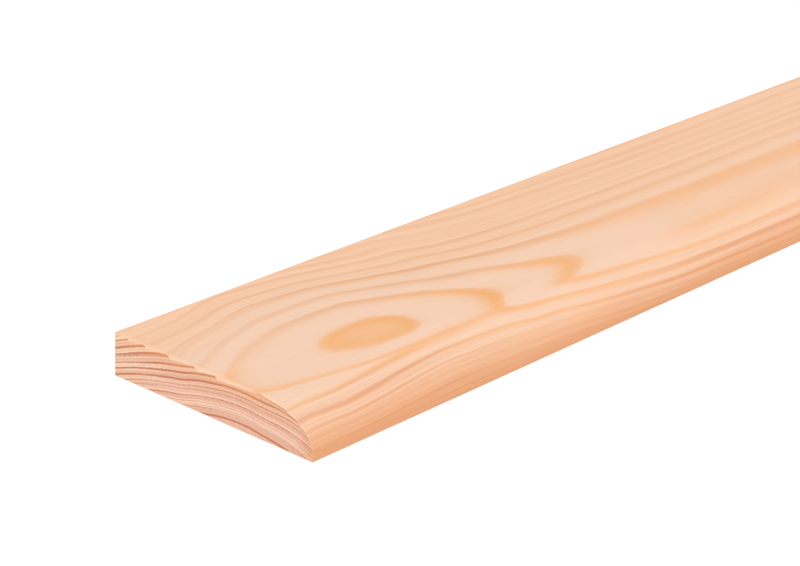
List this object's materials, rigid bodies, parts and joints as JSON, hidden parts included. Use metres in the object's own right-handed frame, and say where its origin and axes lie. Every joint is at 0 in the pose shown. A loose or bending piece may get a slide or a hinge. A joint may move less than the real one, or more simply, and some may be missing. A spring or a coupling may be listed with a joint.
{
  "type": "skirting board",
  "caption": "Softwood skirting board of slim rectangular section with one long edge rounded over, for covering the joint between wall and floor.",
  "frame": {"origin": "middle of the back face, which lies on the ground", "axes": "+X along the board's length, +Y across it towards the square edge that stands on the floor in use, with the rounded edge towards -Y, and +Z out of the show face"},
  "size_m": [2.4, 0.069, 0.012],
  "materials": {
    "planed_softwood": "satin"
  },
  "bodies": {
    "root": {"skirting_board": "planed_softwood"}
  },
  "joints": []
}
